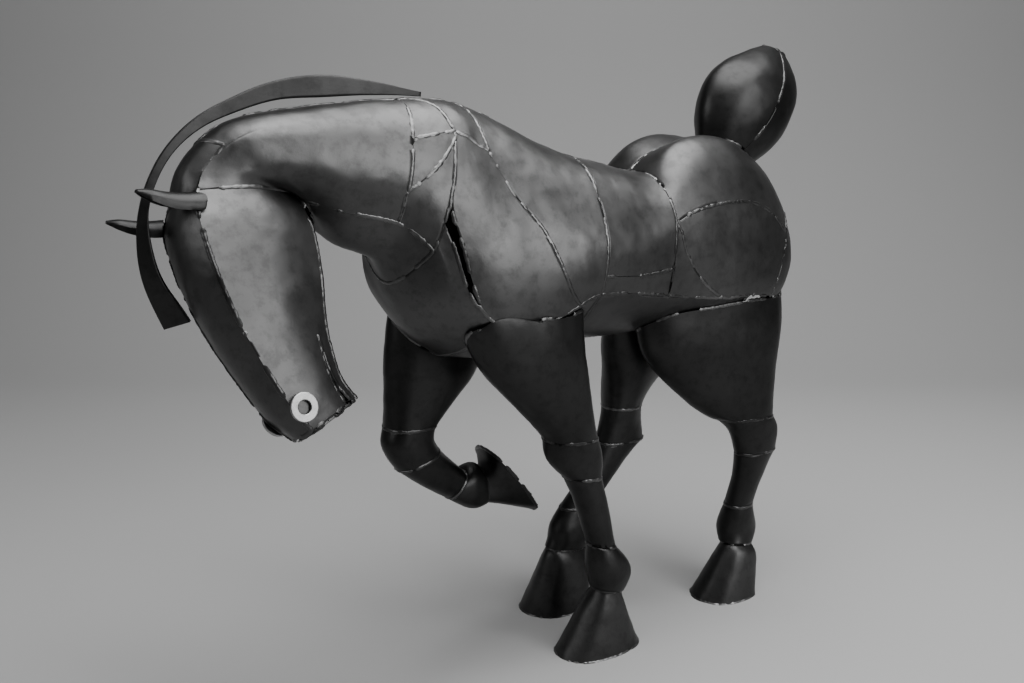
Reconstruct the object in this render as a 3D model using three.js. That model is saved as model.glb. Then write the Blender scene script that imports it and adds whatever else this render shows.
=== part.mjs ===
// A horse welded together from bent sheet-steel plates: head bowed and turned to its left,
// right foreleg lifted, tail carried high, and a free-standing strip for a mane.
// Millimetres, +Z up. The horse faces -X, so its left side is -Y. The origin is on the
// ground, under the middle of the bounding box.

import * as THREE from 'three';

// ---------------------------------------------------------------- driving dimensions

const bodyPlate = 2.5;      // sheet of the head, neck, body and tail
const legPlate = 3;         // sheet of the leg tubes
const earPlate = 1.8;
const maneBar = 3.5;
const seam = 0.7;           // open joint between neighbouring plates
const rootGap = 2.2;        // open joint round a leg, ear or tail where it leaves the body

const washer = { outer: 14, hole: 6.75, thick: 2.5 };
const ear = { length: 60, width: 11, opening: 200 };   // opening in degrees of arc

const legSides = 12;
const upperLegSides = 16;
const hoofSides = 14;

// ---------------------------------------------------------------- small helpers

const vec = (p) => new THREE.Vector3(...p);
const mix = (a, b, t) => a + (b - a) * t;
const mixPoint = (a, b, t) => a.clone().lerp(b, t);

// Hermite blend between p1 and p2. Corner 0 gives a smooth curve, corner 1 a folded one.
function blend(p0, p1, p2, p3, t, corner1 = 0, corner2 = 0) {
  const m1 = (1 - corner1) * 0.5 * (p2 - p0);
  const m2 = (1 - corner2) * 0.5 * (p3 - p1);
  const t2 = t * t;
  const t3 = t2 * t;
  return (2 * t3 - 3 * t2 + 1) * p1 + (t3 - 2 * t2 + t) * m1 + (3 * t2 - 2 * t3) * p2 + (t3 - t2) * m2;
}

// ---------------------------------------------------------------- skins

// A ring is one cross-section of a skin. It lies in the plane of the line from `low` to `high`
// and the direction `across`, which points to the horse's right. Three pairs of side points
// stand off that line: half = distances, rise = heights as a fraction from low to high,
// corner = how hard the skin is folded there.
function ring(high, low, half, rise, corner = [0, 0, 0], across = [0, 1, 0]) {
  return [...high, ...low, ...across, ...half, ...rise, ...corner];
}

// A skin is a smooth surface through a list of rings. u counts rings, v runs once round:
// 0 at `high`, 1/8, 2/8 and 3/8 down the left side, 4/8 at `low`, and back up the right.
class Skin {
  constructor(rings) {
    this.rings = rings;
    this.last = rings.length - 1;
  }

  section(u) {
    const i = Math.min(Math.max(Math.floor(u), 0), this.last - 1);
    const pick = (k) => this.rings[Math.min(Math.max(k, 0), this.last)];
    const n = pick(i).map((here, k) => blend(pick(i - 1)[k], here, pick(i + 1)[k], pick(i + 2)[k], u - i));
    return {
      high: vec(n.slice(0, 3)),
      low: vec(n.slice(3, 6)),
      across: vec(n.slice(6, 9)).normalize(),
      half: n.slice(9, 12),
      rise: n.slice(12, 15),
      corner: n.slice(15, 18),
    };
  }

  // Side distance and rise of the section's outline at v.
  static outline({ half, rise, corner }, v) {
    const side = [0, -half[0], -half[1], -half[2], 0, half[2], half[1], half[0]];
    const height = [1, rise[0], rise[1], rise[2], 0, rise[2], rise[1], rise[0]];
    const fold = [0, corner[0], corner[1], corner[2], 0, corner[2], corner[1], corner[0]];
    const w = (v - Math.floor(v)) * 8;
    const k = Math.floor(w);
    const at = (list, j) => list[(j + 8) % 8];
    return [side, height].map((list) => blend(
      at(list, k - 1), at(list, k), at(list, k + 1), at(list, k + 2), w - k, at(fold, k), at(fold, k + 1)));
  }

  point(u, v) {
    const section = this.section(u);
    const [side, height] = Skin.outline(section, v);
    return mixPoint(section.low, section.high, height).addScaledVector(section.across, side);
  }

  normal(u, v) {
    const du = 0.03;
    const dv = 0.006;
    const along = this.point(Math.min(u + du, this.last), v).sub(this.point(Math.max(u - du, 0), v));
    const round = this.point(u, v + dv).sub(this.point(u, v - dv));
    return round.cross(along).normalize();
  }

  // True when the point is inside the skin between two of its rings, or nearer than the gap.
  holds(point, gap, [from, to]) {
    const ahead = (u) => {
      const s = this.section(u);
      return point.clone().sub(s.low).dot(s.high.clone().sub(s.low).cross(s.across));
    };
    const steps = Math.ceil((to - from) * 4);
    for (let k = 0; k < steps; k++) {
      let a = mix(from, to, k / steps);
      let b = mix(from, to, (k + 1) / steps);
      if (ahead(a) * ahead(b) > 0) continue;
      for (let n = 0; n < 12; n++) {
        const m = (a + b) / 2;
        if (ahead(a) * ahead(m) > 0) a = m;
        else b = m;
      }
      if (this.ringHolds(point, a, gap)) return true;
    }
    return false;
  }

  ringHolds(point, u, gap) {
    const s = this.section(u);
    const up = s.high.clone().sub(s.low);
    const tall = up.length();
    const offset = point.clone().sub(s.low);
    const x = offset.dot(s.across);
    const y = offset.dot(up) / tall;
    const sides = 48;
    let inside = false;
    let nearest = Infinity;
    for (let k = 0; k < sides; k++) {
      const [ax, ah] = Skin.outline(s, k / sides);
      const [bx, bh] = Skin.outline(s, (k + 1) / sides);
      const [ay, by] = [ah * tall, bh * tall];
      if ((ay > y) !== (by > y) && x < ax + ((y - ay) / (by - ay)) * (bx - ax)) inside = !inside;
      const [ex, ey] = [bx - ax, by - ay];
      const t = THREE.MathUtils.clamp(((x - ax) * ex + (y - ay) * ey) / (ex * ex + ey * ey), 0, 1);
      nearest = Math.min(nearest, Math.hypot(ax + ex * t - x, ay + ey * t - y));
    }
    return inside || nearest < gap;
  }
}

// ---------------------------------------------------------------- closed solids

// Joins points and triangles into a closed body with its faces turned outward.
function solid(points, triangles) {
  let volume = 0;
  for (const [a, b, c] of triangles) volume += points[a].dot(points[b].clone().cross(points[c]));
  const faces = volume < 0 ? triangles.map(([a, b, c]) => [a, c, b]) : triangles;
  const geometry = new THREE.BufferGeometry();
  const position = points.flatMap((p) => [p.x, p.y, p.z]);
  geometry.setAttribute('position', new THREE.Float32BufferAttribute(position, 3));
  geometry.setIndex(faces.flat());
  geometry.computeVertexNormals();
  return geometry;
}

// Splits a quad along its longer diagonal.
function split(points, [a, b, c, d]) {
  return points[a].distanceTo(points[c]) > points[b].distanceTo(points[d])
    ? [[a, b, c], [a, c, d]]
    : [[a, b, d], [b, c, d]];
}

// A plate of sheet: outer and inner points joined by the same quads, with a rim wherever a
// quad's side has no neighbour.
function shell(outer, inner, quads) {
  const points = [...outer, ...inner];
  const shift = outer.length;
  const sides = new Set();
  for (const quad of quads) quad.forEach((a, k) => sides.add(`${a} ${quad[(k + 1) % 4]}`));
  const triangles = [];
  for (const quad of quads) {
    for (const [a, b, c] of split(points, quad)) {
      triangles.push([a, b, c], [c + shift, b + shift, a + shift]);
    }
    quad.forEach((a, k) => {
      const b = quad[(k + 1) % 4];
      if (!sides.has(`${b} ${a}`)) triangles.push(...split(points, [b, a, a + shift, b + shift]));
    });
  }
  return solid(points, triangles);
}

// Quads of a grid of points listed row by row. A wrapped grid is closed round its columns.
function gridQuads(rows, cols, wrapped = false) {
  const quads = [];
  const at = (i, j) => i * cols + (j % cols);
  for (let i = 0; i + 1 < rows; i++) {
    for (let j = 0; j < (wrapped ? cols : cols - 1); j++) {
      quads.push([at(i, j), at(i, j + 1), at(i + 1, j + 1), at(i + 1, j)]);
    }
  }
  return quads;
}

// A solid body through rings of points, closed by a flat fan at each end.
function billet(rings) {
  const cols = rings[0].length;
  const points = rings.flat();
  const triangles = gridQuads(rings.length, cols, true).flatMap((quad) => split(points, quad));
  [0, rings.length - 1].forEach((i) => {
    const centre = new THREE.Vector3();
    rings[i].forEach((p) => centre.addScaledVector(p, 1 / cols));
    const hub = points.push(centre) - 1;
    for (let j = 0; j < cols; j++) {
      const [a, b] = [i * cols + j, i * cols + ((j + 1) % cols)];
      triangles.push(i === 0 ? [hub, b, a] : [hub, a, b]);
    }
  });
  return solid(points, triangles);
}

// Walks a line of (u, v) points, with t from 0 at its start to 1 at its end.
function along(line, t) {
  const w = t * (line.length - 1);
  const k = Math.min(Math.floor(w), line.length - 2);
  return [mix(line[k][0], line[k + 1][0], w - k), mix(line[k][1], line[k + 1][1], w - k)];
}

// A plate of a skin between two seam lines, drawn back from all four seams by half a joint.
// A slot tears it open from its first seam: at which row, how many columns deep, and how
// wide at the mouth, in v.
function panel(skin, first, second, rows, cols, slot = null) {
  const place = (s, t) => {
    const [u1, v1] = along(first, t);
    const [u2, v2] = along(second, t);
    return [mix(u1, u2, s), mix(v1, v2, s)];
  };
  // How far half a joint is from the edge at (s, t), as a share of the plate; `step` points inward.
  const inset = (s, t, sStep, tStep) => {
    const edge = skin.point(...place(s, t));
    const near = skin.point(...place(s + sStep, t + tStep));
    return (seam / 2) * Math.abs(sStep + tStep) / Math.max(edge.distanceTo(near), seam);
  };
  const sStep = 0.5 / cols;
  const tStep = 0.5 / rows;
  const outer = [];
  const inner = [];
  const add = (i, j, slide) => {
    const [s, t] = [j / cols, i / rows];
    const sIn = mix(inset(0, t, sStep, 0), 1 - inset(1, t, -sStep, 0), s);
    const tIn = mix(inset(s, 0, 0, tStep), 1 - inset(s, 1, 0, -tStep), t);
    const [u, v] = place(sIn, tIn);
    const point = skin.point(u, v + slide);
    // The edge faces along the normal at the seam itself, as the neighbour's edge does.
    const normal = skin.normal(...place(s, t));
    outer.push(point);
    inner.push(point.clone().addScaledVector(normal, -bodyPlate));
  };
  const opening = (i, j) => (slot && i === slot.row && j < slot.depth ? slot.width * (1 - j / slot.depth) : 0);
  for (let i = 0; i <= rows; i++) {
    for (let j = 0; j <= cols; j++) add(i, j, -opening(i, j) / 2);
  }
  const quads = gridQuads(rows + 1, cols + 1);
  for (let j = 0; slot && j < slot.depth; j++) {
    const old = slot.row * (cols + 1) + j;
    add(slot.row, j, opening(slot.row, j) / 2);
    for (const quad of quads.slice(slot.row * cols)) {
      quad.forEach((p, n) => { if (p === old) quad[n] = outer.length - 1; });
    }
  }
  return shell(outer, inner, quads);
}

// Finds where a line of points leaves a body's skin, with t from 0 at its root to 1.
function emerge(path, body) {
  const hidden = (t) => body.skin.holds(path(t), rootGap, body.span);
  if (!hidden(0)) return 0;
  const steps = 40;
  let b = 1 / steps;
  while (b < 1 && hidden(b)) b += 1 / steps;
  let a = b - 1 / steps;
  for (let n = 0; n < 10; n++) {
    const m = (a + b) / 2;
    if (hidden(m)) a = m;
    else b = m;
  }
  return b;
}

// A plate or tube given by pointAt(t, s, inward), with t along it and s across or round it.
// Where it grows out of a body, each line along it starts where it leaves the body's skin.
function sprout(pointAt, rows, cols, thick, { wrapped = false, body = null } = {}) {
  const lines = wrapped ? cols : cols + 1;
  const wall = (inward) => {
    const starts = [];
    for (let j = 0; j < lines; j++) {
      starts.push(body ? emerge((t) => pointAt(t, j / cols, inward), body) : 0);
    }
    const points = [];
    for (let i = 0; i <= rows; i++) {
      starts.forEach((t, j) => points.push(pointAt(mix(t, 1, i / rows), j / cols, inward)));
    }
    return points;
  };
  return shell(wall(0), wall(thick), gridQuads(rows + 1, lines, wrapped));
}

// ---------------------------------------------------------------- head, neck and body skin

// The head has axes of its own: down the face, out of the forehead, and across to the right.
const brow = vec([-484.6, -6, 579.9]);
const downFace = vec([0.249, -0.434, -0.866]);
const outOfFace = vec([-0.957, -0.248, -0.151]);
const acrossHead = [-0.149, 0.866, -0.477];

function headPoint(down, out, right = 0) {
  return brow.clone().addScaledVector(downFace, down).addScaledVector(outOfFace, out)
    .addScaledVector(vec(acrossHead), right);
}

// Face and jaw are (down, out) on the head's own axes.
function headRing(face, jaw, half, rise = [0.93, 0.5, 0.1]) {
  return ring(headPoint(...face).toArray(), headPoint(...jaw).toArray(), half, rise, [0.8, 0, 0.9], acrossHead);
}

// The neck unwinds from the turn of the head to the line of the body.
function neckRing(high, low, half, rise, turn) {
  const across = [0, 1, 0].map((y, k) => mix(y, acrossHead[k], turn));
  return ring(high, low, half, rise, [0, 0, 0.9], across);
}

// Body rings are (x, z) on the midline. The forehand is swung so that the right side leads.
function bodyRing(high, low, half, rise, swing = 0) {
  const across = [-Math.sin(swing), Math.cos(swing), 0];
  return ring([high[0], 0, high[1]], [low[0], 0, low[1]], half, rise, [0, 0, 0.6], across);
}

const stations = {
  lips: headRing([233, -14], [220, -92], [18, 22, 15]),
  muzzle: headRing([203, -1], [197, -85], [24, 28, 19]),
  nose: headRing([155, 8], [150, -96], [27, 32, 22]),
  face: headRing([105, 14], [104, -118], [31, 37, 26]),
  cheek: headRing([55, 13], [62, -134], [35, 41, 30]),
  temple: headRing([12, 5], [30, -137], [37, 42, 30]),
  poll: headRing([-14, -8], [16, -134], [35, 42, 27]),
  nape: neckRing([-472, 8, 624], [-342, 14, 578], [30, 43, 26], [0.87, 0.5, 0.14], 0.85),
  arch: neckRing([-450, 10, 651], [-334, 12, 567], [30, 45, 29], [0.87, 0.52, 0.2], 0.6),
  crest: neckRing([-412, 9, 673], [-326, 10, 556], [32, 47, 31], [0.87, 0.53, 0.24], 0.35),
  neck: neckRing([-335, 5, 685], [-310, 5, 542], [36, 50, 37], [0.87, 0.53, 0.25], 0.1),
  base: neckRing([-238, 0, 692], [-275, 0, 526], [38, 56, 45], [0.87, 0.52, 0.24], 0.05),
  withers: bodyRing([-190, 692], [-256, 498], [40, 66, 60], [0.88, 0.5, 0.2], 0.16),
  chest: bodyRing([-160, 687], [-236, 452], [43, 77, 72], [0.86, 0.5, 0.15], 0.22),
  shoulder: bodyRing([-130, 677], [-190, 408], [46, 85, 84], [0.86, 0.5, 0.17], 0.16),
  elbow: bodyRing([-95, 662], [-108, 396], [49, 90, 88], [0.87, 0.52, 0.2], 0.08),
  girth: bodyRing([-56, 645], [-52, 396], [52, 93, 88], [0.88, 0.55, 0.27]),
  rib: bodyRing([-12, 630], [-26, 401], [55, 93, 86], [0.9, 0.58, 0.31]),
  barrel: bodyRing([48, 617], [36, 399], [56, 92, 85], [0.91, 0.6, 0.31]),
  loin: bodyRing([100, 606], [88, 398], [52, 89, 85], [0.95, 0.72, 0.29]),
  croup: bodyRing([132, 627], [134, 399], [46, 90, 86], [1.03, 0.71, 0.23]),
  hip: bodyRing([192, 639], [195, 402], [44, 91, 88], [1.03, 0.7, 0.18]),
  dock: bodyRing([256, 629], [240, 404], [44, 88, 86], [1.02, 0.7, 0.17]),
  rump: bodyRing([306, 597], [266, 406], [43, 83, 83], [1.02, 0.7, 0.17]),
  buttock: bodyRing([339, 560], [284, 408], [42, 78, 80], [1.03, 0.7, 0.18]),
  seat: bodyRing([360, 515], [298, 410], [40, 72, 75], [1.03, 0.7, 0.2]),
  twist: bodyRing([364, 472], [308, 411], [35, 62, 65], [1.03, 0.68, 0.2]),
  fork: bodyRing([350, 434], [316, 412], [24, 48, 50], [1, 0.6, 0.2]),
};

const torso = new Skin(Object.values(stations));
const U = Object.fromEntries(Object.keys(stations).map((name, k) => [name, k]));

// Lines round the section, as v on the left side.
const top = 0;
const upper = 1 / 8;
const middle = 2 / 8;
const lower = 3 / 8;
const belt = 0.32;

const right = (line) => line.map(([u, v]) => [u, 1 - v]);
const acrossFrom = (u, from, to) => [[u, from], [u, to]];

// Seams that are not straight across, as lines of (u, v). The withers plate ends at `pocket`.
const pocket = 0.145;
const wedgeTop = U.base + 0.12;
const wedgeBack = [[wedgeTop, top], [U.withers, pocket]];
const bladeTop = [U.chest + 0.35, 0.145];
const bladeMiddle = [U.elbow - 0.25, 0.225];
const shoulderFront = [[U.withers, pocket], [U.withers + 0.05, 0.27], [U.shoulder, lower]];
const shoulderBack = [bladeTop, bladeMiddle, [U.girth, lower]];
const ribFront = [[U.chest - 0.35, top], bladeTop, bladeMiddle, [U.girth, lower]];
const hipFront = [[U.loin, middle], [U.loin + 0.5, 0.3], [U.hip - 0.1, lower]];

const solids = {};

function addPlate(name, ...shape) {
  solids[name] = panel(torso, ...shape);
}

function addPair(name, first, second, ...rest) {
  addPlate(`${name}_left`, first, second, ...rest);
  addPlate(`${name}_right`, right(first), right(second), ...rest);
}

// The cheek plates are slit from the front for the mouth, and a plate closes the muzzle.
function addHead() {
  const mouth = { row: 3, depth: 4, width: 0.03 };
  addPlate('face_plate', acrossFrom(U.lips, -upper, upper), acrossFrom(U.poll, -upper, upper), 4, 12);
  addPair('cheek_plate', acrossFrom(U.lips, upper, lower), acrossFrom(U.poll, upper, lower), 4, 12, mouth);
  addPlate('jaw_plate', acrossFrom(U.lips, lower, 1 - lower), acrossFrom(U.cheek + 0.5, lower, 1 - lower), 2, 9);
  addPlate('poll_plate', acrossFrom(U.poll, -upper, upper), acrossFrom(U.arch, -upper, upper), 4, 4);
  solids.muzzle_plate = muzzlePlate();
}

// Fills the open end of the head skin, a joint's width inside its edge.
function muzzlePlate() {
  const rows = 6;
  const centre = headPoint(229, -52);
  const facing = vec(acrossHead).cross(torso.section(0).high.clone().sub(torso.section(0).low)).normalize();
  const pointAt = (t, s, inward) => {
    const half = mix(0.02, 0.48, t);
    const rim = mixPoint(torso.point(0, -half), torso.point(0, half), s);
    const shrunk = mixPoint(rim, centre, 0.13);
    return shrunk.addScaledVector(facing, -inward);
  };
  return sprout(pointAt, rows, 3, bodyPlate);
}

function addNeck() {
  const neckFront = [[U.arch, top], [U.arch, upper], [U.poll, upper + 0.001], [U.poll, middle], [U.poll, lower]];
  addPair('neck_plate', neckFront, acrossFrom(U.base, top, lower), 8, 10);
  addPlate('throat_plate', acrossFrom(U.arch, lower, 1 - lower), acrossFrom(U.withers, lower, 1 - lower), 4, 8);
  addPlate('collar_wedge_left', acrossFrom(U.base, top, 0.17), wedgeBack, 3, 2);
  addPlate('collar_point_left', acrossFrom(U.base, 0.17, 0.28), acrossFrom(U.withers, pocket, pocket + 0.015), 2, 2);
  addPlate('collar_plate_left', acrossFrom(U.base, 0.28, lower),
    acrossFrom(U.withers, pocket + 0.015, lower - 0.008), 3, 2);
  addPlate('collar_plate_right', right(acrossFrom(U.base, top, lower)),
    right([[wedgeTop, top], [U.withers, pocket], [U.withers, lower - 0.008]]), 6, 2);
}

function addForehand() {
  const chestTop = [[U.withers, 0.3], [U.withers, lower], [U.withers, 0.5], [U.withers, 1 - lower], [U.withers, 0.7]];
  const chestFoot = [0, 1, 2, 3, 4].map((k) => [U.shoulder, mix(lower, 1 - lower, k / 4)]);
  addPair('withers_plate', wedgeBack, [[U.chest - 0.35, top], bladeTop], 3, 3);
  addPair('shoulder_plate', shoulderFront, shoulderBack, 6, 4);
  addPlate('chest_plate', chestTop, chestFoot, 8, 4);
}

function addBarrel() {
  addPair('rib_plate', ribFront, acrossFrom(U.rib, top, lower), 9, 4);
  addPlate('flank_plate_left', acrossFrom(U.rib, top, belt), acrossFrom(U.loin, top, belt), 6, 4);
  addPlate('belly_strip_left', acrossFrom(U.rib, belt, lower), acrossFrom(U.loin, belt, lower), 1, 4);
  addPlate('flank_plate_right', acrossFrom(U.rib, 1 - lower, 1), acrossFrom(U.loin, 1 - lower, 1), 7, 4);
  addPlate('brisket_plate', acrossFrom(U.shoulder, lower, 1 - lower), acrossFrom(U.rib, lower, 1 - lower), 4, 6);
  addPlate('belly_plate', acrossFrom(U.rib, lower, 1 - lower), acrossFrom(U.dock, lower, 1 - lower), 4, 5);
}

function addQuarters() {
  addPair('croup_plate', acrossFrom(U.loin, top, middle), acrossFrom(U.buttock, top, middle), 4, 7);
  addPair('stifle_plate', acrossFrom(U.loin, middle, lower), hipFront, 4, 2);
  addPair('hip_plate', hipFront, acrossFrom(U.buttock, middle, lower), 4, 7);
  addPair('rump_plate', acrossFrom(U.buttock, top, lower), acrossFrom(U.fork - 0.4, top, lower), 6, 3);
}

// ---------------------------------------------------------------- tail

// The tail is a pod of two plates that meet in a sharp ridge on each side.
function tailRing(front, rear, half) {
  return ring([front[0], 0, front[1]], [rear[0], 0, rear[1]], [0.8 * half, half, 0.74 * half],
    [0.8, 0.48, 0.18], [0, 0.9, 0]);
}

const tail = new Skin([
  tailRing([236, 628], [292, 596], 24),
  tailRing([230, 660], [326, 606], 36),
  tailRing([232, 694], [372, 632], 48),
  tailRing([248, 726], [402, 676], 50),
  tailRing([284, 750], [408, 714], 38),
  tailRing([348, 768], [392, 754], 10),
]);

function addTail() {
  const body = { skin: torso, span: [U.croup, U.buttock] };
  const half = (from) => (t, s, inward) => {
    const u = mix(0, tail.last, t);
    const width = 4 * tail.section(u).half[1];
    const v = from + mix(seam / width, 0.5 - seam / width, s);
    return tail.point(u, v).addScaledVector(tail.normal(u, from + s / 2), -inward);
  };
  solids.tail_front = sprout(half(-0.25), 6, 8, bodyPlate, { body });
  solids.tail_rear = sprout(half(0.25), 6, 8, bodyPlate, { body });
}

// ---------------------------------------------------------------- legs

// One cross-section of a leg, from its front line to its back line.
function legRing(front, back, half) {
  return ring(front, back, [0.78 * half, half, 0.78 * half], [0.86, 0.5, 0.14], [0.2, 0, 0.2]);
}

// A leg runs from inside the body down to the sole. The joints are rings of it, by number.
const legs = {
  fore_left: {
    rings: [
      legRing([-198, -56, 478], [-25, -56, 478], 28),
      legRing([-186, -57, 432], [-32, -57, 440], 34),
      legRing([-158, -56, 388], [-28, -58, 395], 34),
      legRing([-95, -52, 326], [-13, -56, 320], 28),
      legRing([-69, -50, 296], [-4, -54, 290], 24),
      legRing([-64, -50, 269], [7, -53, 262], 22),
      legRing([-39, -52, 243], [5, -54, 236], 19),
      legRing([-25, -56, 209], [12, -58, 201], 17),
      legRing([-7, -62, 149], [24, -63, 141], 15),
      legRing([-9, -64, 124], [44, -64, 117], 21),
      legRing([-6, -64, 106], [49, -63, 97], 21),
      legRing([0, -62, 87], [40, -62, 78], 17),
      legRing([-9, -60, 70], [46, -60, 56], 24),
      legRing([-48, -52, 0], [72, -58, 0], 38),
    ],
    joints: { knee: 4, cannon: 6, fetlock: 8, hoof: 11 },
    span: [U.withers, U.barrel],
  },
  fore_right: {
    rings: [
      legRing([-212, 56, 478], [-60, 56, 478], 28),
      legRing([-220, 57, 432], [-74, 57, 436], 34),
      legRing([-225, 56, 388], [-103, 57, 376], 33),
      legRing([-227, 54, 345], [-135, 57, 342], 28),
      legRing([-229, 52, 314], [-168, 55, 312], 25),
      legRing([-233, 50, 290], [-172, 54, 294], 23),
      legRing([-217, 50, 262], [-163, 54, 276], 20),
      legRing([-187, 54, 238], [-148, 56, 260], 17),
      legRing([-140, 62, 206], [-118, 62, 232], 15),
      legRing([-118, 65, 190], [-108, 65, 236], 21),
      legRing([-101, 67, 182], [-96, 67, 236], 20),
      legRing([-84, 68, 182], [-88, 68, 226], 17),
      legRing([-63, 68, 176], [-80, 67, 237], 23),
      legRing([-3, 70, 153], [-84, 66, 257], 37),
    ],
    joints: { knee: 4, cannon: 6, fetlock: 8, hoof: 11 },
    span: [U.withers, U.barrel],
  },
  hind_left: {
    rings: [
      legRing([128, -38, 466], [334, -48, 466], 28),
      legRing([98, -32, 402], [340, -56, 408], 35),
      legRing([122, -34, 354], [330, -59, 364], 34),
      legRing([190, -47, 290], [321, -63, 285], 27),
      legRing([230, -57, 268], [319, -65, 262], 22),
      legRing([252, -62, 246], [331, -66, 240], 19),
      legRing([265, -64, 212], [328, -66, 212], 17),
      legRing([268, -60, 176], [312, -61, 178], 15),
      legRing([264, -53, 130], [303, -51, 130], 15),
      legRing([259, -50, 108], [310, -48, 106], 20),
      legRing([256, -49, 92], [315, -48, 90], 20),
      legRing([254, -54, 77], [301, -56, 72], 17),
      legRing([246, -58, 66], [306, -60, 54], 24),
      legRing([208, -50, 0], [300, -60, 0], 37),
    ],
    joints: { hock: 4, cannon: 6, fetlock: 8, hoof: 11 },
    span: [U.girth, U.fork],
  },
  hind_right: {
    rings: [
      legRing([128, 38, 466], [334, 48, 466], 28),
      legRing([96, 32, 402], [318, 56, 404], 35),
      legRing([107, 38, 348], [262, 59, 350], 33),
      legRing([116, 47, 304], [199, 59, 306], 28),
      legRing([120, 51, 278], [179, 59, 274], 23),
      legRing([117, 54, 255], [183, 60, 249], 20),
      legRing([109, 56, 226], [190, 60, 222], 18),
      legRing([88, 56, 188], [160, 60, 202], 16),
      legRing([46, 57, 142], [106, 60, 150], 15),
      legRing([32, 58, 121], [98, 60, 120], 20),
      legRing([28, 58, 105], [95, 59, 99], 20),
      legRing([22, 58, 91], [86, 59, 82], 17),
      legRing([13, 57, 78], [90, 58, 60], 24),
      legRing([-12, 68, 0], [86, 58, 0], 38),
    ],
    joints: { hock: 4, cannon: 6, fetlock: 8, hoof: 11 },
    span: [U.girth, U.fork],
  },
};

// A length of leg tube between two rings.
function legTube(skin, from, to, rows, body = null) {
  const reach = skin.point(from, middle).distanceTo(skin.point(to, middle));
  const gap = (seam / 2 / reach) * (to - from);
  const pointAt = (t, s, inward) => skin.point(mix(body ? from : from + gap, to - gap, t), s)
    .addScaledVector(skin.normal(mix(from, to, t), s), -inward);
  return sprout(pointAt, rows, body ? upperLegSides : legSides, legPlate, { wrapped: true, body });
}

function hoof(skin, from) {
  const rings = [];
  for (const u of [from + 0.02, from + 0.5, from + 1, from + 1.35, from + 1.7, skin.last]) {
    rings.push(Array.from({ length: hoofSides }, (_, j) => skin.point(u, j / hoofSides)));
  }
  return billet(rings);
}

function addLeg(name, { rings, joints, span }) {
  const skin = new Skin(rings);
  const [topJoint, middleJoint] = Object.keys(joints);
  const upperLeg = topJoint === 'hock' ? 'thigh' : 'forearm';
  solids[`${upperLeg}_${name}`] = legTube(skin, 0, joints[topJoint], 4, { skin: torso, span });
  solids[`${topJoint}_${name}`] = legTube(skin, joints[topJoint], joints[middleJoint], 2);
  solids[`${middleJoint}_${name}`] = legTube(skin, joints[middleJoint], joints.fetlock, 2);
  solids[`fetlock_${name}`] = legTube(skin, joints.fetlock, joints.hoof, 3);
  solids[`hoof_${name}`] = hoof(skin, joints.hoof);
}

// ---------------------------------------------------------------- ears, mane, nostrils

// An ear is a scoop rolled from sheet, open below, with its tip pointing forward.
function earScoop(root, tip) {
  const axis = tip.clone().sub(root);
  const out = axis.clone().normalize();
  const side = new THREE.Vector3(0, 0, 1).cross(out).normalize();
  const up = out.clone().cross(side);
  const arc = THREE.MathUtils.degToRad(ear.opening);
  const pointAt = (t, s, inward) => {
    const radius = ear.width * Math.pow(Math.max(1 - t * t, 0), 0.6) + earPlate + 0.6 - inward;
    const angle = (s - 0.5) * arc;
    return root.clone().addScaledVector(axis, t)
      .addScaledVector(up, radius * Math.cos(angle) - 5 * Math.sin(Math.PI * t) + 4 * t)
      .addScaledVector(side, radius * Math.sin(angle));
  };
  return sprout(pointAt, 5, 6, earPlate, { body: { skin: torso, span: [U.cheek, U.crest] } });
}

function addEars() {
  const root = (side) => headPoint(2, -16, side * 30);
  const tip = (side, drop) => root(side).add(vec([-ear.length, side * 8, 12 - drop]));
  solids.ear_left = earScoop(root(-1), tip(-1, 0));
  solids.ear_right = earScoop(root(1), tip(1, 4));
}

// The mane is one sickle of flat bar on edge: it springs from the withers, stands clear of the
// crest, passes between the ears and turns its flat to the front where it hangs off the brow.
function addMane() {
  const spine = new THREE.CatmullRomCurve3([
    [-208, 0, 697], [-259, 0, 702], [-320, 0, 704], [-372, 0, 699], [-416, 0, 685], [-452, 0, 668],
    [-480, 0, 644], [-498, 0, 616], [-507, 0, 590], [-509, 0, 560], [-504, 0, 526], [-484, 0, 481],
  ].map(vec));
  const widths = new THREE.SplineCurve([
    [0, 5], [0.14, 14], [0.27, 22], [0.4, 17], [0.55, 12], [0.68, 8], [0.78, 9], [0.88, 17], [1, 28],
  ].map(([x, y]) => new THREE.Vector2(x, y)));
  const pointAt = (t, s, inward) => {
    const run = spine.getTangentAt(t);
    const flat = vec([0, -1, 0]).applyAxisAngle(vec([0, 0, 1]), -THREE.MathUtils.smoothstep(t, 0.6, 0.95) * 0.8);
    const edge = run.clone().cross(flat).normalize();
    const face = edge.clone().cross(run);
    const width = widths.getPoint(t).y;
    return spine.getPointAt(t).addScaledVector(edge, (s - 0.5) * width)
      .addScaledVector(face, maneBar / 2 - inward);
  };
  solids.mane = sprout(pointAt, 26, 1, maneBar);
}

// A nostril is a flat washer laid on the cheek plate.
function addNostril(name, side) {
  const v = side < 0 ? 0.172 : 1 - 0.172;
  const u = U.muzzle - 0.18;
  const centre = torso.point(u, v);
  const face = torso.normal(u, v);
  const across = headPoint(1, 0).sub(headPoint(0, 0)).projectOnPlane(face).normalize();
  const other = face.clone().cross(across);
  const sides = 20;
  const ringAt = (radius, height) => Array.from({ length: sides }, (_, j) => {
    const angle = (2 * Math.PI * j) / sides;
    return centre.clone().addScaledVector(face, height)
      .addScaledVector(across, radius * Math.cos(angle)).addScaledVector(other, radius * Math.sin(angle));
  });
  const base = 1.3;
  const upperFace = [...ringAt(washer.hole, base + washer.thick), ...ringAt(washer.outer, base + washer.thick)];
  const lowerFace = [...ringAt(washer.hole, base), ...ringAt(washer.outer, base)];
  solids[name] = shell(upperFace, lowerFace, gridQuads(2, sides, true));
}

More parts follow.
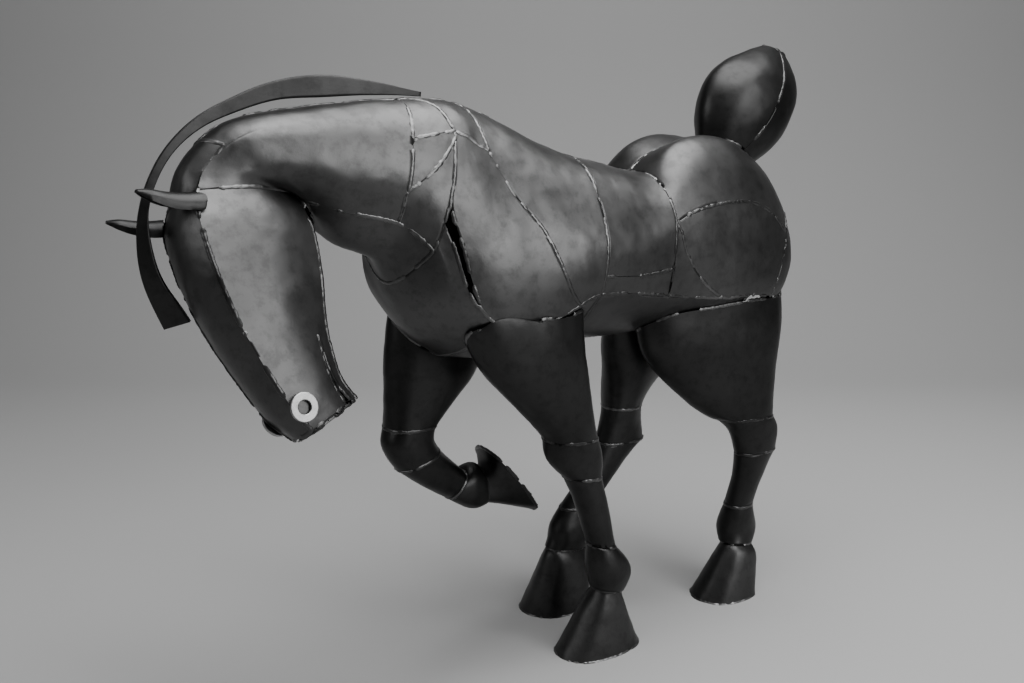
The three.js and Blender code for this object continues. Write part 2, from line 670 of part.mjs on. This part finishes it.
// ---------------------------------------------------------------- the whole horse

addHead();
addNeck();
addForehand();
addBarrel();
addQuarters();
addTail();
Object.entries(legs).forEach(([name, leg]) => addLeg(name, leg));
addEars();
addMane();
addNostril('nostril_washer_left', -1);
addNostril('nostril_washer_right', 1);

const blackSteel = new THREE.MeshStandardMaterial({ color: '#2b2c2e', roughness: 0.42, metalness: 0.75 });
const wornSteel = new THREE.MeshStandardMaterial({ color: '#6a6a6a', roughness: 0.35, metalness: 0.85 });

const horse = new THREE.Group();
for (const [name, geometry] of Object.entries(solids)) {
  const mesh = new THREE.Mesh(geometry, name.startsWith('nostril') ? wornSteel : blackSteel);
  mesh.name = name;
  horse.add(mesh);
}

// Stand the horse on the ground, centred over the origin.
const box = new THREE.Box3().setFromObject(horse);
const middleOfBox = box.getCenter(new THREE.Vector3());
horse.position.set(-middleOfBox.x, -middleOfBox.y, -box.min.z);

export default horse;
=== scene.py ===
"""The looks of the welded scrap metal horse: hammered plates, weld beads, worn black steel.

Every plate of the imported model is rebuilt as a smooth, dented sheet of the same outline. Metres, +Z up.
The horse faces -X and its left side is -Y.
"""

import math

import bmesh
import bpy
import numpy as np
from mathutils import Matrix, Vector, kdtree, noise


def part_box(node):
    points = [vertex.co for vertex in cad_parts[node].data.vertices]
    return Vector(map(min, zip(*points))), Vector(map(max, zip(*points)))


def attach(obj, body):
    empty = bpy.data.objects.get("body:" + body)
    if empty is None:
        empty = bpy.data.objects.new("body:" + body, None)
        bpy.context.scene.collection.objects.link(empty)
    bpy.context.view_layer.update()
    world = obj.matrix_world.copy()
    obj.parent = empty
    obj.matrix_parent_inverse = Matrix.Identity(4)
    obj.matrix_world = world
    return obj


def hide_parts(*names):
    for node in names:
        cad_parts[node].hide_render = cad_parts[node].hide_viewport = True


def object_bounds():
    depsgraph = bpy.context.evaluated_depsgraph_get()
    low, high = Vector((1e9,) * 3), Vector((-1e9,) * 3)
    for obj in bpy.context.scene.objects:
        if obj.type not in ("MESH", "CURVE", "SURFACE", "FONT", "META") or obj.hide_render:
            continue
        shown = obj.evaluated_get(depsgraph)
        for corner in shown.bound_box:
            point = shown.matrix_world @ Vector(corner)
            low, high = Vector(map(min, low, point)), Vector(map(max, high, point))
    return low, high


MM = 0.001

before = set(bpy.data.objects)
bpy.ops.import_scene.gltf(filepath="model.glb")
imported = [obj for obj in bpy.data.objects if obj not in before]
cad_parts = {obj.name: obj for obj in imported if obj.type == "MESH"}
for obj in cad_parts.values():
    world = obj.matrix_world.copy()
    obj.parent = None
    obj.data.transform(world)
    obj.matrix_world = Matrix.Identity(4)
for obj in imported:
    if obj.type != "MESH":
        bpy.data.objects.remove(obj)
cad_low, cad_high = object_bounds()
centre = (cad_low + cad_high) / 2

# ---------------------------------------------------------------- the pieces and their finish

SIDES = ("left", "right")


def pair(*names):
    return [f"{name}_{side}" for name in names for side in SIDES]


HEAD = ["face_plate", "jaw_plate", "poll_plate", "muzzle_plate", *pair("cheek_plate")]
NECK = ["throat_plate", "collar_wedge_left", "collar_point_left", *pair("neck_plate", "collar_plate")]
FOREHAND = ["chest_plate", "brisket_plate", *pair("withers_plate", "shoulder_plate", "rib_plate")]
BARREL = ["belly_strip_left", "belly_plate", *pair("flank_plate")]
QUARTERS = pair("croup_plate", "stifle_plate", "hip_plate", "rump_plate")
TAIL = ["tail_front", "tail_rear"]
EARS = pair("ear")
WASHERS = pair("nostril_washer")
HOOVES = [f"hoof_{end}_{side}" for end in ("fore", "hind") for side in SIDES]
LEG_BONES = (
    ("fore", ("forearm", "knee", "cannon", "fetlock")),
    ("hind", ("thigh", "hock", "cannon", "fetlock")),
)
LEGS = [f"{bone}_{end}_{side}" for end, bones in LEG_BONES for bone in bones for side in SIDES]

# ---------------------------------------------------------------- plates as quads


def opposite(face, edge):
    """The face on the other side of an edge."""
    return next((other for other in edge.link_faces if other != face), None)


def is_rim(face, thickest=6.9 * MM):
    """True for a cut edge of the sheet: the faces across its long sides look opposite ways."""
    if len(face.verts) != 4:
        return False
    edges = [loop.edge for loop in face.loops]
    for k in (0, 1):
        across = [opposite(face, edges[k]), opposite(face, edges[k + 2])]
        short = max(edges[1 - k].calc_length(), edges[3 - k].calc_length())
        if None not in across and short < thickest and across[0].normal.dot(across[1].normal) < -0.7:
            return True
    return False


def cage(node):
    """A node's mesh with its triangles joined back in pairs. Material 1 marks the cut edges."""
    bm = bmesh.new()
    bm.from_mesh(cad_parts[node].data)
    bmesh.ops.remove_doubles(bm, verts=bm.verts, dist=1e-6)
    if node in HOOVES:
        hubs = [v for v in bm.verts if len(v.link_edges) > 9]
        bmesh.ops.dissolve_verts(bm, verts=hubs)
    bm.faces.index_update()
    longest = {f: max(f.edges, key=lambda e: e.calc_length()) for f in bm.faces}
    diagonals = [
        e for e in bm.edges if all(len(f.verts) == 3 and longest[f] == e for f in e.link_faces)
    ]
    bmesh.ops.dissolve_edges(bm, edges=diagonals, use_verts=False)
    triangles = [f for f in bm.faces if len(f.verts) == 3]
    bmesh.ops.join_triangles(bm, faces=triangles, angle_face_threshold=0.7, angle_shape_threshold=3.1)
    bm.normal_update()
    crease = bm.edges.layers.float.new("crease_edge")
    if node in HOOVES:
        rims = {f for f in bm.faces if len(f.verts) > 4}
    else:
        rims = {f for f in bm.faces if is_rim(f)}
    for face in bm.faces:
        face.material_index = int(face in rims)
        face.smooth = True
    for edge in bm.edges:
        marks = [f in rims for f in edge.link_faces]
        corner = all(marks) and edge.calc_face_angle(0) > math.radians(50)
        if any(marks) and not all(marks) or corner:
            edge[crease] = 1.0
    mesh = bpy.data.meshes.new(node)
    bm.to_mesh(mesh)
    bm.free()
    return mesh


def coordinates(mesh):
    co = np.empty(len(mesh.vertices) * 3, np.float32)
    mesh.vertices.foreach_get("co", co)
    return co.reshape(-1, 3).astype(float)


def set_coordinates(mesh, co):
    mesh.vertices.foreach_set("co", co.astype(np.float32).ravel())
    mesh.update()


def subdivided(mesh, levels, limit=False):
    obj = bpy.data.objects.new("cage", mesh)
    bpy.context.scene.collection.objects.link(obj)
    modifier = obj.modifiers.new("smooth", "SUBSURF")
    modifier.levels = modifier.render_levels = levels
    modifier.use_limit_surface = limit
    graph = bpy.context.evaluated_depsgraph_get()
    fine = bpy.data.meshes.new_from_object(obj.evaluated_get(graph))
    bpy.data.objects.remove(obj)
    return fine


def smooth_sheet(node, levels):
    """The node's surface, smooth, and very nearly through the corners of the CAD facets."""
    mesh = cage(node)
    target = coordinates(mesh)
    corners = target.copy()
    for _ in range(4):
        once = subdivided(mesh, 1, limit=True)
        corners += target - coordinates(once)[: len(target)]
        set_coordinates(mesh, corners)
        bpy.data.meshes.remove(once)
    fine = subdivided(mesh, levels, limit=True)
    bpy.data.meshes.remove(mesh)
    fine.name = node
    return fine


def surface_normals(mesh):
    """Vertex normals from the sheet's faces alone, so that its cut edges don't tilt them."""
    normals = np.zeros((len(mesh.vertices), 3))
    plain = np.zeros((len(mesh.vertices), 3))
    for polygon in mesh.polygons:
        n = np.array(polygon.normal) * polygon.area
        for v in polygon.vertices:
            plain[v] += n
            if polygon.material_index == 0:
                normals[v] += n
    size = np.linalg.norm(normals, axis=1)
    normals[size < 1e-12] = plain[size < 1e-12]
    return normals / np.maximum(np.linalg.norm(normals, axis=1), 1e-12)[:, None]


# ---------------------------------------------------------------- hammered dents

DENTS = ((38 * MM, 0.75 * MM), (17 * MM, 0.42 * MM), (7 * MM, 0.14 * MM))


def dented(co, normals, dents=DENTS):
    """The surface moved in and out by soft noise, as a sheet beaten over a stump is."""
    out = co.copy()
    for size, depth in dents:
        shift = np.array([noise.noise(Vector(p) / size) for p in co])
        out += normals * (shift * depth)[:, None]
    return out


# ---------------------------------------------------------------- seams


def seam_loops(mesh, normals, middle):
    """Rings of (points, normals) where the outer face of a sheet meets its cut edge."""
    rim_of = {}
    for polygon in mesh.polygons:
        for key in polygon.edge_keys:
            rim_of.setdefault(key, []).append(polygon.material_index)
    joined = {}
    for (a, b), marks in rim_of.items():
        if sorted(marks) == [0, 1]:
            joined.setdefault(a, []).append(b)
            joined.setdefault(b, []).append(a)
    co = coordinates(mesh)
    loops, seen = [], set()
    for start in joined:
        if start in seen:
            continue
        ring, here = [start], start
        seen.add(start)
        while True:
            ahead = [v for v in joined[here] if v not in seen]
            if not ahead:
                break
            here = ahead[0]
            seen.add(here)
            ring.append(here)
        facing = np.einsum("ij,ij->i", normals[ring], co[ring] - middle).sum()
        if facing > 0:
            loops.append((co[ring], normals[ring]))
    return loops


def resampled(points, normals, step):
    """Points at an even step round a closed ring, with their normals."""
    closed = np.vstack([points, points[:1]])
    facing = np.vstack([normals, normals[:1]])
    lengths = np.concatenate([[0], np.cumsum(np.linalg.norm(np.diff(closed, axis=0), axis=1))])
    count = max(int(lengths[-1] / step), 8)
    at = np.arange(count) * lengths[-1] / count
    pos = np.column_stack([np.interp(at, lengths, closed[:, k]) for k in range(3)])
    nor = np.column_stack([np.interp(at, lengths, facing[:, k]) for k in range(3)])
    return pos, nor / np.linalg.norm(nor, axis=1)[:, None]


# ---------------------------------------------------------------- materials


def steel(name, dark, light, roughness, bump=0.25):
    """Blackened steel: cloudy tone, satin gloss that varies, and a brighter rub along the seams."""
    material = bpy.data.materials.new(name)
    material.use_nodes = True
    nodes, links = material.node_tree.nodes, material.node_tree.links
    shader = nodes["Principled BSDF"]
    shader.inputs["Metallic"].default_value = 1.0
    where = nodes.new("ShaderNodeTexCoord")

    def cloud(scale, detail=4.0, rough=0.55):
        texture = nodes.new("ShaderNodeTexNoise")
        texture.inputs["Scale"].default_value = scale
        texture.inputs["Detail"].default_value = detail
        texture.inputs["Roughness"].default_value = rough
        links.new(where.outputs["Object"], texture.inputs["Vector"])
        return texture.outputs["Fac"]

    def ramp(value, stops):
        node = nodes.new("ShaderNodeValToRGB")
        for k, (at, tone) in enumerate(stops):
            element = node.color_ramp.elements[k] if k < 2 else node.color_ramp.elements.new(at)
            element.position = at
            element.color = (tone, tone, tone, 1)
        links.new(value, node.inputs["Fac"])
        return node.outputs["Color"]

    def mixed(factor, a, b):
        node = nodes.new("ShaderNodeMix")
        node.data_type = "RGBA"
        links.new(factor, node.inputs["Factor"])
        links.new(a, node.inputs["A"])
        links.new(b, node.inputs["B"])
        return node.outputs["Result"]

    tone = ramp(cloud(9, 3.0, 0.45), [(0.3, dark), (0.7, light)])
    soot = ramp(cloud(75, 7, 0.7), [(0.36, 0.78), (0.52, 1.0)])
    multiply = nodes.new("ShaderNodeMix")
    multiply.data_type = "RGBA"
    multiply.blend_type = "MULTIPLY"
    multiply.inputs["Factor"].default_value = 1.0
    links.new(tone, multiply.inputs["A"])
    links.new(soot, multiply.inputs["B"])
    wear = nodes.new("ShaderNodeAttribute")
    wear.attribute_name = "wear"
    bright = nodes.new("ShaderNodeRGB")
    bright.outputs[0].default_value = (0.26, 0.26, 0.27, 1)
    worn = nodes.new("ShaderNodeMath")
    worn.operation = "MULTIPLY"
    links.new(wear.outputs["Fac"], worn.inputs[0])
    links.new(ramp(cloud(220, 5), [(0.44, 0.0), (0.56, 1.0)]), worn.inputs[1])
    links.new(mixed(worn.outputs[0], multiply.outputs["Result"], bright.outputs[0]), shader.inputs["Base Color"])
    gloss = ramp(cloud(20, 5), [(0.3, roughness - 0.04), (0.7, roughness + 0.06)])
    links.new(gloss, shader.inputs["Roughness"])
    fine = nodes.new("ShaderNodeBump")
    fine.inputs["Strength"].default_value = bump
    fine.inputs["Distance"].default_value = 0.4 * MM
    links.new(cloud(420, 8, 0.65), fine.inputs["Height"])
    links.new(fine.outputs["Normal"], shader.inputs["Normal"])
    return material


body_steel = steel("body_steel", 0.06, 0.095, 0.4)
leg_steel = steel("leg_steel", 0.024, 0.042, 0.4)
hoof_steel = steel("hoof_steel", 0.03, 0.06, 0.42, bump=0.5)
edge_steel = steel("edge_steel", 0.06, 0.26, 0.4)
weld_steel = steel("weld_steel", 0.03, 0.16, 0.36, bump=0.5)
washer_grey = steel("washer_steel", 0.28, 0.42, 0.38)

# ---------------------------------------------------------------- building the plates

BEAD_STEP = 2.2 * MM
rings = []  # every seam ring: (region name, points, normals)


def finish_piece(mesh, name, slot, materials, *nodes):
    for material in materials:
        mesh.materials.append(material)
    piece = bpy.data.objects.new(name, mesh)
    bpy.context.scene.collection.objects.link(piece)
    mesh.set_sharp_from_angle(angle=math.radians(48))
    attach(piece, "root")
    if nodes:
        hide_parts(*nodes)
    return piece


def wear_attribute(mesh, co, reach=7 * MM):
    """1 on the borders of the sheet, fading to 0 at `reach` from them."""
    border = set()
    for polygon in mesh.polygons:
        if polygon.material_index == 1:
            border.update(polygon.vertices)
    tree = kdtree.KDTree(max(len(border), 1))
    for v in border:
        tree.insert(Vector(co[v]), v)
    tree.balance()
    value = np.zeros(len(co), np.float32)
    if border:
        value[:] = [max(0.0, 1 - tree.find(Vector(p))[2] / reach) for p in co]
    attribute = mesh.attributes.new("wear", "FLOAT", "POINT")
    attribute.data.foreach_set("value", value)


def build_plates(region, nodes, slot, material, levels=3, dents=DENTS, one_by_one=False):
    corners = [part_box(node) for node in nodes]
    low = np.min([c[0] for c in corners], axis=0)
    high = np.max([c[1] for c in corners], axis=0)
    for node in nodes:
        mesh = smooth_sheet(node, levels)
        normals = surface_normals(mesh)
        co = dented(coordinates(mesh), normals, dents)
        co[:, 2] = np.maximum(co[:, 2], 0)  # the hooves stay flat on the floor
        set_coordinates(mesh, co)
        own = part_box(node)
        middle = np.array((own[0] + own[1]) / 2) if one_by_one else (low + high) / 2
        for points, facing in seam_loops(mesh, normals, middle):
            rings.append((region, *resampled(points, facing, BEAD_STEP)))
        mesh.materials.clear()
        wear_attribute(mesh, co)
        finish_piece(mesh, f"{node}_finish", slot, [material, edge_steel], node)


build_plates("head", HEAD, "body_sheet", body_steel)
build_plates("neck", NECK, "body_sheet", body_steel)
build_plates("forehand", FOREHAND, "body_sheet", body_steel)
build_plates("barrel", BARREL, "body_sheet", body_steel)
build_plates("quarters", QUARTERS, "body_sheet", body_steel)
build_plates("tail", TAIL, "tail_sheet", leg_steel)
build_plates("legs", LEGS, "leg_sheet", leg_steel, one_by_one=True)
build_plates("hooves", HOOVES, "hoof_steel", hoof_steel, one_by_one=True)
build_plates("ears", EARS, "ear_sheet", leg_steel, dents=(), one_by_one=True)
build_plates("mane", ["mane"], "mane_bar", leg_steel, dents=(), one_by_one=True)
build_plates("washers", WASHERS, "washer_steel", washer_grey, dents=(), one_by_one=True)

# ---------------------------------------------------------------- weld beads

WELDED = ("head", "neck", "forehand", "barrel", "quarters", "tail", "legs", "hooves")
SEAM_REACH = 4.5 * MM


def bead_rows():
    """For each seam point, its place halfway to the neighbour's edge, counted once for two sheets."""
    tree = kdtree.KDTree(sum(len(r[1]) for r in rings))
    owners = []
    for k, (_, points, _) in enumerate(rings):
        for i, p in enumerate(points):
            tree.insert(Vector(p), len(owners))
            owners.append((k, i))
    tree.balance()
    for k, (region, points, normals) in enumerate(rings):
        if region not in WELDED:
            continue
        rows = []
        for p, n in zip(points, normals):
            near = [owners[index] for _, index, _ in tree.find_range(Vector(p), SEAM_REACH)]
            others = [(j, i) for j, i in near if j != k]
            if not others:
                rows.append((p, n, True))
                continue
            j, i = min(others, key=lambda o: np.linalg.norm(rings[o[0]][1][o[1]] - p))
            facing = n + rings[j][2][i]
            rows.append(((p + rings[j][1][i]) / 2, facing / max(np.linalg.norm(facing), 1e-9), j > k))
        yield region, rows


def bead(rows):
    """A lumpy weld along rows of (point, normal), as vertices and faces of closed tubes."""
    verts, faces = [], []
    count = len(rows)
    pos = np.array([r[0] for r in rows])
    run = np.roll(pos, -1, axis=0) - np.roll(pos, 1, axis=0)
    run /= np.maximum(np.linalg.norm(run, axis=1), 1e-9)[:, None]
    laid = []
    for p, _, mine in rows:
        presence = noise.noise(Vector(p) / (24 * MM)) + 0.5 * noise.noise(Vector(p) / (6 * MM))
        laid.append(mine and presence > -0.34)
    previous = None
    for k in range(count + 1):
        i = k % count
        if not laid[i]:
            previous = None
            continue
        p, n, _ = rows[i]
        ends = not laid[i - 1] or not laid[(i + 1) % count]
        lump = noise.noise(Vector(p) / (3.2 * MM))
        wide = (2.5 + 1.2 * lump) * MM * (0.5 if ends else 1.0)
        rise = noise.noise(Vector(p) / (2.4 * MM) + Vector((5, 1, 2)))
        high = (1.0 + 0.8 * rise) * MM * (0.2 if ends else 1.0)
        side = np.cross(run[i], n)
        side /= max(np.linalg.norm(side), 1e-9)
        profile = ((-1, -0.9), (-0.75, 0.5), (0, 1.0), (0.75, 0.5), (1, -0.9), (0, -1.3))
        first = len(verts)
        for x, y in profile:
            verts.append(p + side * (x * wide) + n * (y * high if y > 0 else y * 0.8 * MM))
        size = len(profile)
        if previous is not None:
            for j in range(size):
                a, b = previous + j, previous + (j + 1) % size
                c, d = first + (j + 1) % size, first + j
                faces.append((a, b, c, d))
        else:
            faces.append(tuple(first + j for j in reversed(range(size))))
        if not laid[(i + 1) % count] or k == count:
            faces.append(tuple(first + j for j in range(size)))
        previous = first
    return verts, faces


def build_welds():
    found = {}
    for region, rows in bead_rows():
        verts, faces = bead(rows)
        all_verts, all_faces = found.setdefault(region, ([], []))
        shift = len(all_verts)
        all_verts.extend(verts)
        all_faces.extend(tuple(v + shift for v in face) for face in faces)
    for region, (verts, faces) in found.items():
        if not faces:
            continue
        mesh = bpy.data.meshes.new(f"welds_{region}")
        mesh.from_pydata([(v[0], v[1], max(v[2], 0)) for v in verts], [], faces)
        mesh.validate()
        mesh.polygons.foreach_set("use_smooth", [True] * len(mesh.polygons))
        slot = "leg_sheet" if region == "legs" else "body_sheet"
        finish_piece(mesh, f"welds_{region}", slot, [weld_steel])


build_welds()

# ---------------------------------------------------------------- floor, light and camera


def plain(name, tone, roughness):
    material = bpy.data.materials.new(name)
    material.use_nodes = True
    shader = material.node_tree.nodes["Principled BSDF"]
    shader.inputs["Base Color"].default_value = (tone, tone, tone, 1)
    shader.inputs["Roughness"].default_value = roughness
    return material


def studio_floor():
    """A floor that turns up into a wall behind, as a paper sweep does."""
    depth, height, bend, wide = 2.2, 3.5, 0.9, 5.0
    azimuth = math.radians(-37)
    away = Vector((-math.sin(azimuth), math.cos(azimuth), 0))
    across = Vector((math.cos(azimuth), math.sin(azimuth), 0))
    profile = [(-4.0, 0.0), (depth - bend, 0.0)]
    for k in range(1, 13):
        turn = k / 12 * math.pi / 2
        profile.append((depth - bend + bend * math.sin(turn), bend - bend * math.cos(turn)))
    profile.append((depth, height))
    verts = [away * d + across * (side * wide) + Vector((0, 0, z)) for d, z in profile for side in (-1, 1)]
    faces = [(2 * k, 2 * k + 1, 2 * k + 3, 2 * k + 2) for k in range(len(profile) - 1)]
    mesh = bpy.data.meshes.new("studio_floor")
    mesh.from_pydata(verts, [], faces)
    mesh.polygons.foreach_set("use_smooth", [True] * len(mesh.polygons))
    mesh.materials.append(plain("floor_grey", 0.29, 0.9))
    floor = bpy.data.objects.new("studio_floor", mesh)
    bpy.context.scene.collection.objects.link(floor)


def area_light(name, location, aim, size, watts):
    data = bpy.data.lights.new(name, "AREA")
    data.shape = "RECTANGLE"
    data.size = size
    data.size_y = size
    data.energy = watts
    lamp = bpy.data.objects.new(name, data)
    lamp.location = location
    lamp.rotation_euler = (Vector(aim) - Vector(location)).to_track_quat("-Z", "Y").to_euler()
    bpy.context.scene.collection.objects.link(lamp)


def studio_light():
    target = centre
    area_light("overhead", (0.25, -0.35, 2.1), target, 1.8, 84)
    area_light("side", (0.7, -2.3, 1.25), target, 1.4, 44)
    area_light("left", (-2.2, 0.2, 1.4), target, 1.0, 12)
    world = bpy.data.worlds.new("studio")
    world.use_nodes = True
    world.node_tree.nodes["Background"].inputs["Color"].default_value = (0.5, 0.5, 0.5, 1)
    world.node_tree.nodes["Background"].inputs["Strength"].default_value = 0.2
    bpy.context.scene.world = world


def studio_camera():
    """A little above the horse, off its left shoulder, with a 35 mm lens."""
    azimuth, elevation, distance = math.radians(-37), math.radians(13), 1.2144
    aim = centre + Vector((-15.3, 18.1, 22.8)) * MM
    back = Vector(
        (
            math.sin(azimuth) * math.cos(elevation),
            -math.cos(azimuth) * math.cos(elevation),
            math.sin(elevation),
        )
    )
    data = bpy.data.cameras.new("camera")
    data.lens = 35.16
    data.sensor_width = 36
    camera = bpy.data.objects.new("camera", data)
    camera.location = aim + back * distance
    camera.rotation_euler = (-back).to_track_quat("-Z", "Y").to_euler()
    bpy.context.scene.collection.objects.link(camera)
    bpy.context.scene.camera = camera


studio_floor()
studio_light()
studio_camera()
